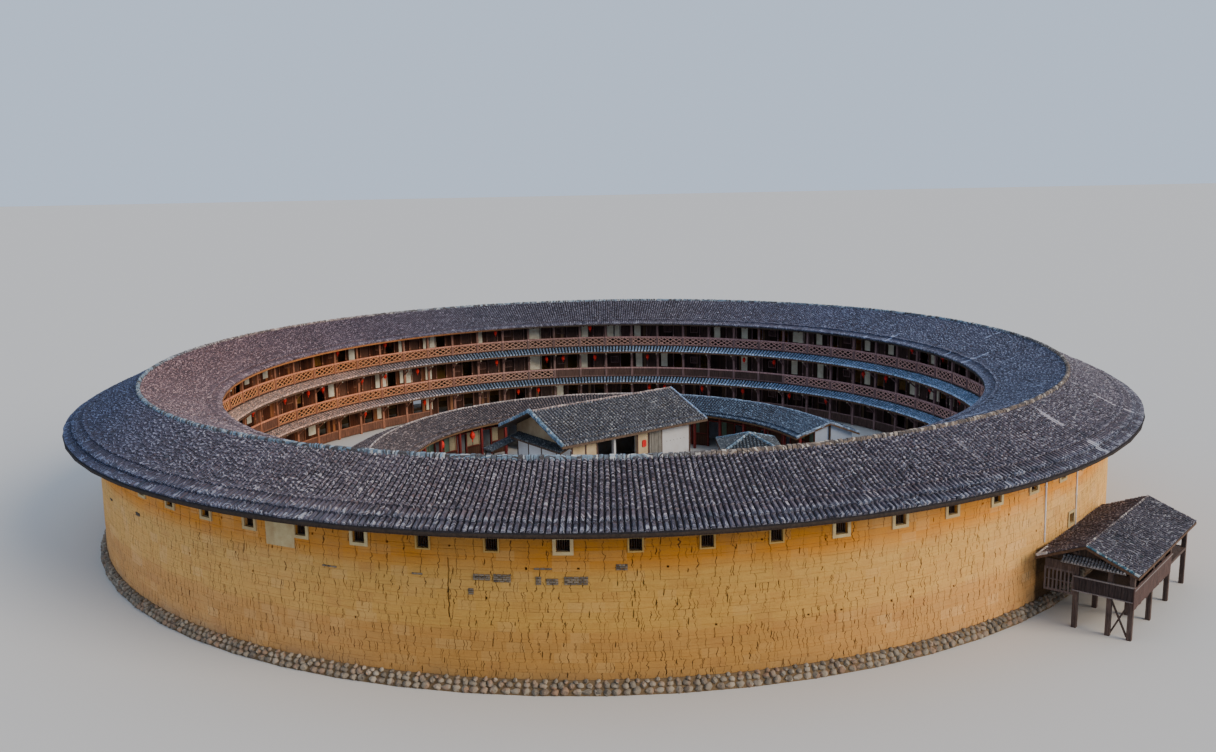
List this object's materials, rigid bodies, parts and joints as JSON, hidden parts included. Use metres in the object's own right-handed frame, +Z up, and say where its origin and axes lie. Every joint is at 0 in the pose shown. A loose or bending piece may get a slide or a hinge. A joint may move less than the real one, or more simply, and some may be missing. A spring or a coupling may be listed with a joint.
{
  "type": "tulou roundhouse, 1:2 scale model",
  "caption": "Round earth-walled courtyard house with tiled ring roof, timber galleries, inner ring, central hall and side porch, as a half-size scale model.",
  "frame": {"origin": "ring's centre on the ground, at the bottom centre of the whole model's box", "axes": "+Z up, +Y to the back of the view in the picture, +X to its right"},
  "size_m": [31.5584, 31.5584, 4.49],
  "materials": {
    "rammed_earth": "rough rammed earth",
    "stone": "rough rubble stone",
    "roof_tile": "weathered fired clay",
    "ridge_mortar": "weathered lime mortar",
    "waist_tile": "weathered fired clay",
    "timber": "aged oiled timber",
    "red_timber": "aged red paint",
    "room_panels": "limewash and timber boards",
    "white_wall": "stained limewash",
    "pipe_white": "satin"
  },
  "bodies": {
    "root": {"outer_wall_1": "rammed_earth", "outer_wall_2": "rammed_earth", "outer_wall_3": "rammed_earth", "outer_wall_4": "rammed_earth", "outer_wall_5": "rammed_earth", "outer_wall_6": "rammed_earth", "outer_wall_7": "rammed_earth", "outer_wall_8": "rammed_earth", "outer_wall_9": "rammed_earth", "outer_wall_10": "rammed_earth", "outer_wall_11": "rammed_earth", "outer_wall_12": "rammed_earth", "stone_plinth_1": "stone", "stone_plinth_2": "stone", "stone_plinth_3": "stone", "stone_plinth_4": "stone", "doorway_sill": "stone", "ring_roof_1": "roof_tile", "ring_roof_2": "roof_tile", "ring_roof_3": "roof_tile", "ring_roof_4": "roof_tile", "ridge_cap_1": "ridge_mortar", "ridge_cap_2": "ridge_mortar", "second_floor_1": "timber", "second_floor_2": "timber", "third_floor_1": "timber", "third_floor_2": "timber", "gallery_frame_1": "timber", "gallery_frame_2": "timber", "gallery_frame_3": "timber", "waist_roof_2": "waist_tile", "waist_roof_3": "waist_tile", "room_fronts_1": "room_panels", "room_fronts_2": "room_panels", "room_fronts_3": "room_panels", "inner_roof_1": "roof_tile", "inner_roof_2": "roof_tile", "inner_back_wall": "rammed_earth", "inner_room_fronts": "room_panels", "inner_columns": "red_timber", "inner_gable_wall_1": "white_wall", "inner_gable_wall_2": "white_wall", "hall_platform": "stone", "hall_walls": "white_wall", "hall_roof": "roof_tile", "hall_gable_skirt": "waist_tile", "court_shed": "waist_tile", "porch_frame": "timber", "porch_planking": "timber", "porch_screen": "timber", "porch_roof": "roof_tile", "downpipe_1": "pipe_white", "downpipe_2": "pipe_white"}
  },
  "joints": []
}
